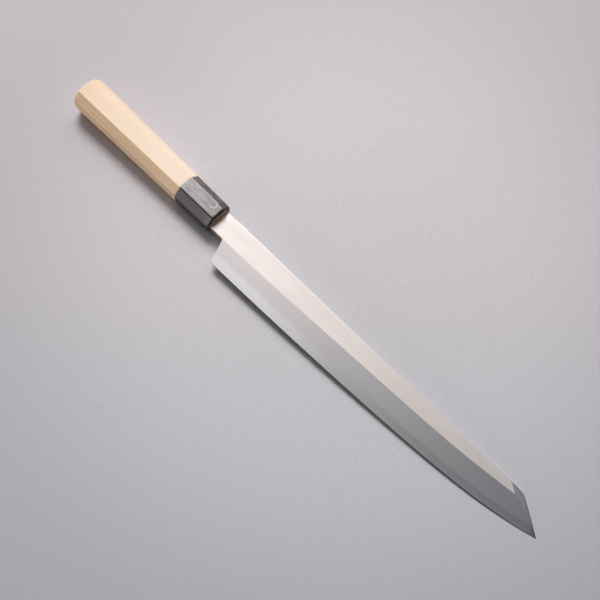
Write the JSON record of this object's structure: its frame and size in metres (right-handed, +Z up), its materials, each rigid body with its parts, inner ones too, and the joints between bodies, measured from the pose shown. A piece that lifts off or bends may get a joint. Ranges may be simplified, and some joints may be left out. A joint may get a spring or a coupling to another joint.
{
  "type": "yanagiba knife",
  "caption": "Long single-bevel slicing knife for the right hand, with a slanted sword-like point, a horn ferrule and an octagonal wooden handle, lying bevel up.",
  "frame": {"origin": "on the table under the middle of the whole knife as it lies, bevel up, on the ferrule's lower rim and its point", "axes": "+X along the knife towards the point, +Y towards the spine, +Z up, out of the bevelled side"},
  "size_m": [0.456, 0.0396, 0.024],
  "materials": {
    "cladding_iron": "soft iron, satin, brushed along the blade on the flat side and hazy on the bevel",
    "edge_steel": "hard carbon steel, brighter and a little bluer than the iron, stone-ground",
    "horn": null,
    "magnolia": "bare pale magnolia, finely sanded, straight grain",
    "seal_resin": "dark resin, matt"
  },
  "bodies": {
    "root": {"blade_cladding": "cladding_iron", "edge_steel": "edge_steel", "horn_ferrule": "horn", "wood_handle": "magnolia", "tang_seal": "seal_resin"}
  },
  "joints": []
}
